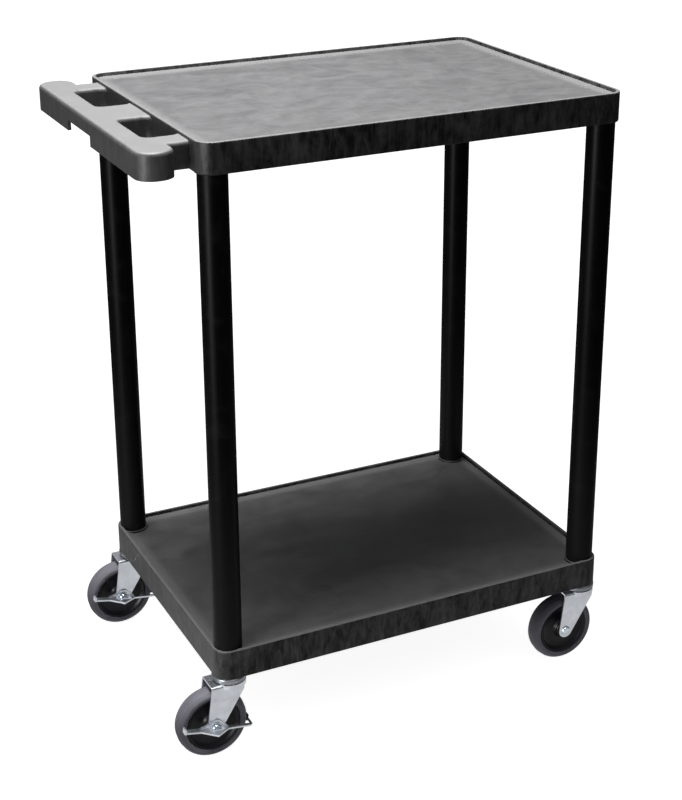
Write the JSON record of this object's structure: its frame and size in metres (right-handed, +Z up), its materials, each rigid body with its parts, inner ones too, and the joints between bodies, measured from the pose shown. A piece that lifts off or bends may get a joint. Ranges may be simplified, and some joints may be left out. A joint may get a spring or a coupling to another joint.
{
  "type": "service trolley",
  "caption": "Push trolley with two lipped plastic shelves on round legs, an end handle with hand holes, and swivel casters with side brakes.",
  "frame": {"origin": "middle of the whole trolley's footprint, at the floor", "axes": "+Z up, +X forward (away from the push handle), +Y to the left"},
  "size_m": [0.688, 0.4567, 0.868],
  "materials": {
    "moulded_shelf": "satin, fine swirled moulding marks",
    "leg_plastic": "satin extruded",
    "socket_plastic": "plain moulded",
    "zinc_plate": "bright zinc plate",
    "bolt_steel": "zinc-plated fastener",
    "spring_steel": "spring steel",
    "bearing_steel": "polished",
    "wheel_core": "moulded nylon",
    "tyre_rubber": "matt, non-marking",
    "shoe_rubber": "matt"
  },
  "bodies": {
    "frame": {"top_shelf": "moulded_shelf", "bottom_shelf": "moulded_shelf", "leg_front_left": "leg_plastic", "leg_front_right": "leg_plastic", "leg_rear_left": "leg_plastic", "leg_rear_right": "leg_plastic", "caster_socket_front_left": "socket_plastic", "caster_socket_front_right": "socket_plastic", "caster_socket_rear_left": "socket_plastic", "caster_socket_rear_right": "socket_plastic", "stem_front_left": "zinc_plate", "stem_front_right": "zinc_plate", "stem_rear_left": "zinc_plate", "stem_rear_right": "zinc_plate", "grip_rings": "spring_steel"},
    "swivel_front_left": {"fork_front_left": "zinc_plate", "bearing_balls_front_left": "bearing_steel", "axle_bolt_front_left": "bolt_steel", "axle_nut_front_left": "bolt_steel", "axle_sleeve_front_left": "bearing_steel"},
    "wheel_front_left": {"wheel_core_front_left": "wheel_core", "tyre_front_left": "tyre_rubber"},
    "swivel_front_right": {"fork_front_right": "zinc_plate", "bearing_balls_front_right": "bearing_steel", "axle_bolt_front_right": "bolt_steel", "axle_nut_front_right": "bolt_steel", "axle_sleeve_front_right": "bearing_steel"},
    "wheel_front_right": {"wheel_core_front_right": "wheel_core", "tyre_front_right": "tyre_rubber"},
    "swivel_rear_left": {"fork_rear_left": "zinc_plate", "bearing_balls_rear_left": "bearing_steel", "axle_bolt_rear_left": "bolt_steel", "axle_nut_rear_left": "bolt_steel", "axle_sleeve_rear_left": "bearing_steel", "brake_cam_rear_left": "bolt_steel", "brake_retainer_rear_left": "bolt_steel"},
    "wheel_rear_left": {"wheel_core_rear_left": "wheel_core", "tyre_rear_left": "tyre_rubber"},
    "brake_rear_left": {"brake_lever_rear_left": "zinc_plate", "brake_shoe_rear_left": "shoe_rubber"},
    "swivel_rear_right": {"fork_rear_right": "zinc_plate", "bearing_balls_rear_right": "bearing_steel", "axle_bolt_rear_right": "bolt_steel", "axle_nut_rear_right": "bolt_steel", "axle_sleeve_rear_right": "bearing_steel", "brake_cam_rear_right": "bolt_steel", "brake_retainer_rear_right": "bolt_steel"},
    "wheel_rear_right": {"wheel_core_rear_right": "wheel_core", "tyre_rear_right": "tyre_rubber"},
    "brake_rear_right": {"brake_lever_rear_right": "zinc_plate", "brake_shoe_rear_right": "shoe_rubber"}
  },
  "joints": [
    {"name": "swivel_front_left", "type": "hinge", "parent": "frame", "child": "swivel_front_left", "pos_m": [0.3205, 0.2038, 0.112], "axis": [0, 0, 1], "continuous": true},
    {"name": "roll_front_left", "type": "hinge", "parent": "swivel_front_left", "child": "wheel_front_left", "pos_m": [0.2915, 0.2038, 0.0508], "axis": [0, 1, 0], "continuous": true},
    {"name": "swivel_front_right", "type": "hinge", "parent": "frame", "child": "swivel_front_right", "pos_m": [0.3205, -0.1862, 0.112], "axis": [0, 0, 1], "continuous": true},
    {"name": "roll_front_right", "type": "hinge", "parent": "swivel_front_right", "child": "wheel_front_right", "pos_m": [0.2915, -0.1862, 0.0508], "axis": [0, 1, 0], "continuous": true},
    {"name": "swivel_rear_left", "type": "hinge", "parent": "frame", "child": "swivel_rear_left", "pos_m": [-0.2435, 0.2038, 0.112], "axis": [0, 0, 1], "continuous": true},
    {"name": "roll_rear_left", "type": "hinge", "parent": "swivel_rear_left", "child": "wheel_rear_left", "pos_m": [-0.2725, 0.2038, 0.0508], "axis": [0, 1, 0], "continuous": true},
    {"name": "brake_rear_left", "type": "hinge", "parent": "swivel_rear_left", "child": "brake_rear_left", "pos_m": [-0.27207, 0.1841, 0.05326], "axis": [0, 1, 0], "range_deg": [0, 11.3]},
    {"name": "swivel_rear_right", "type": "hinge", "parent": "frame", "child": "swivel_rear_right", "pos_m": [-0.2435, -0.1862, 0.112], "axis": [0, 0, 1], "continuous": true},
    {"name": "roll_rear_right", "type": "hinge", "parent": "swivel_rear_right", "child": "wheel_rear_right", "pos_m": [-0.2725, -0.1862, 0.0508], "axis": [0, 1, 0], "continuous": true},
    {"name": "brake_rear_right", "type": "hinge", "parent": "swivel_rear_right", "child": "brake_rear_right", "pos_m": [-0.27207, -0.2059, 0.05326], "axis": [0, 1, 0], "range_deg": [0, 11.3]}
  ]
}
